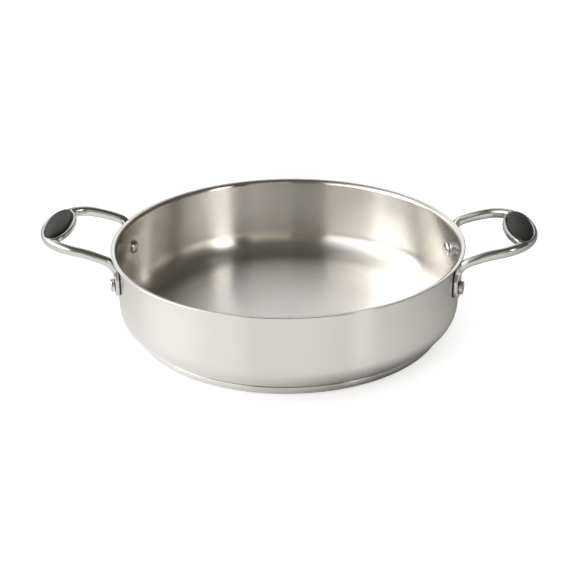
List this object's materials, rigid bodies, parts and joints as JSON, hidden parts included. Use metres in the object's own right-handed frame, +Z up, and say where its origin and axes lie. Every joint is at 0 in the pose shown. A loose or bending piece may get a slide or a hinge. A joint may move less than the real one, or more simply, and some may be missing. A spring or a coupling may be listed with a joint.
{
  "type": "two-handled saute pan",
  "caption": "Low round steel pan with an upright wall, flared pouring lip, encapsulated base and riveted cast loop handles with soft oval inserts, for frying and braising on a hob.",
  "frame": {"origin": "middle of the underside of the base cap, on the surface the pan stands on", "axes": "+X along the line through both handles, +Y to the back of the pan, +Z up along the pan's axis"},
  "size_m": [0.4038, 0.288, 0.0906],
  "materials": {
    "satin_steel": "satin",
    "polished_steel": "polished",
    "core_aluminium": "matt",
    "soft_insert": "soft matt"
  },
  "bodies": {
    "root": {"pan_body": "satin_steel", "base_core": "core_aluminium", "base_cap": "satin_steel", "handle_left": "polished_steel", "handle_right": "polished_steel", "grip_insert_left": "soft_insert", "grip_insert_right": "soft_insert", "rivet_left_front": "polished_steel", "rivet_left_rear": "polished_steel", "rivet_right_front": "polished_steel", "rivet_right_rear": "polished_steel"}
  },
  "joints": []
}
